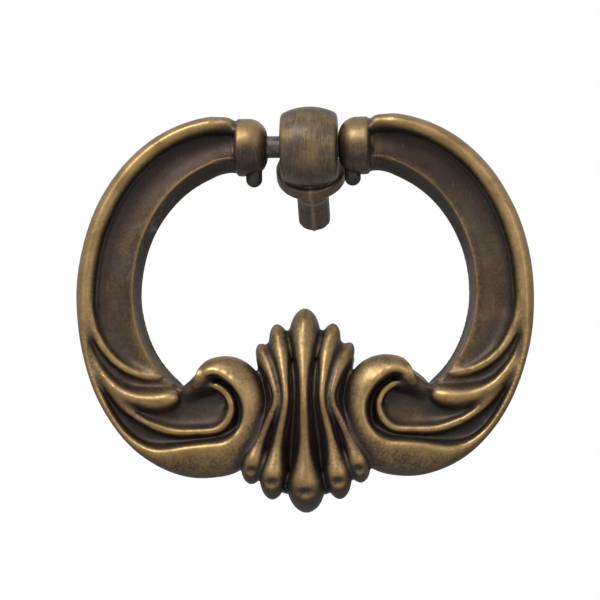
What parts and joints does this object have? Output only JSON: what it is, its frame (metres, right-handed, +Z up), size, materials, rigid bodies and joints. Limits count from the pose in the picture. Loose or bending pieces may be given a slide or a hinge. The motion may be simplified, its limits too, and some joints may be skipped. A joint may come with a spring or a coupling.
{
  "type": "ring pull handle",
  "caption": "Cast ring pull in aged brass with leaf scrolls and a ribbed palmette, swinging on a pin through a round-headed post with a fixing spigot.",
  "frame": {"origin": "centre of the post's seat, where the spigot meets the collar face that lies on the furniture", "axes": "+X along the pivot pin to the viewer's right, +Z up, -Y towards the viewer; the ring hangs straight down and the post leans back as in the picture"},
  "size_m": [0.0724, 0.021, 0.0644],
  "materials": {
    "ring_brass": "aged, dark in the hollows, rubbed bright on the crests",
    "post_brass": "aged, head brushed along its curve",
    "pin_metal": "dull turned steel",
    "locking_brass": "dark aged"
  },
  "bodies": {
    "post": {"post": "post_brass"},
    "ring": {"ring": "ring_brass", "pivot_pin": "pin_metal", "left_locking_pin": "locking_brass", "right_locking_pin": "locking_brass"}
  },
  "joints": [
    {"name": "ring_swing", "type": "hinge", "parent": "post", "child": "ring", "pos_m": [0, -0.00528, 0.00428], "axis": [1, 0, 0], "continuous": true}
  ]
}
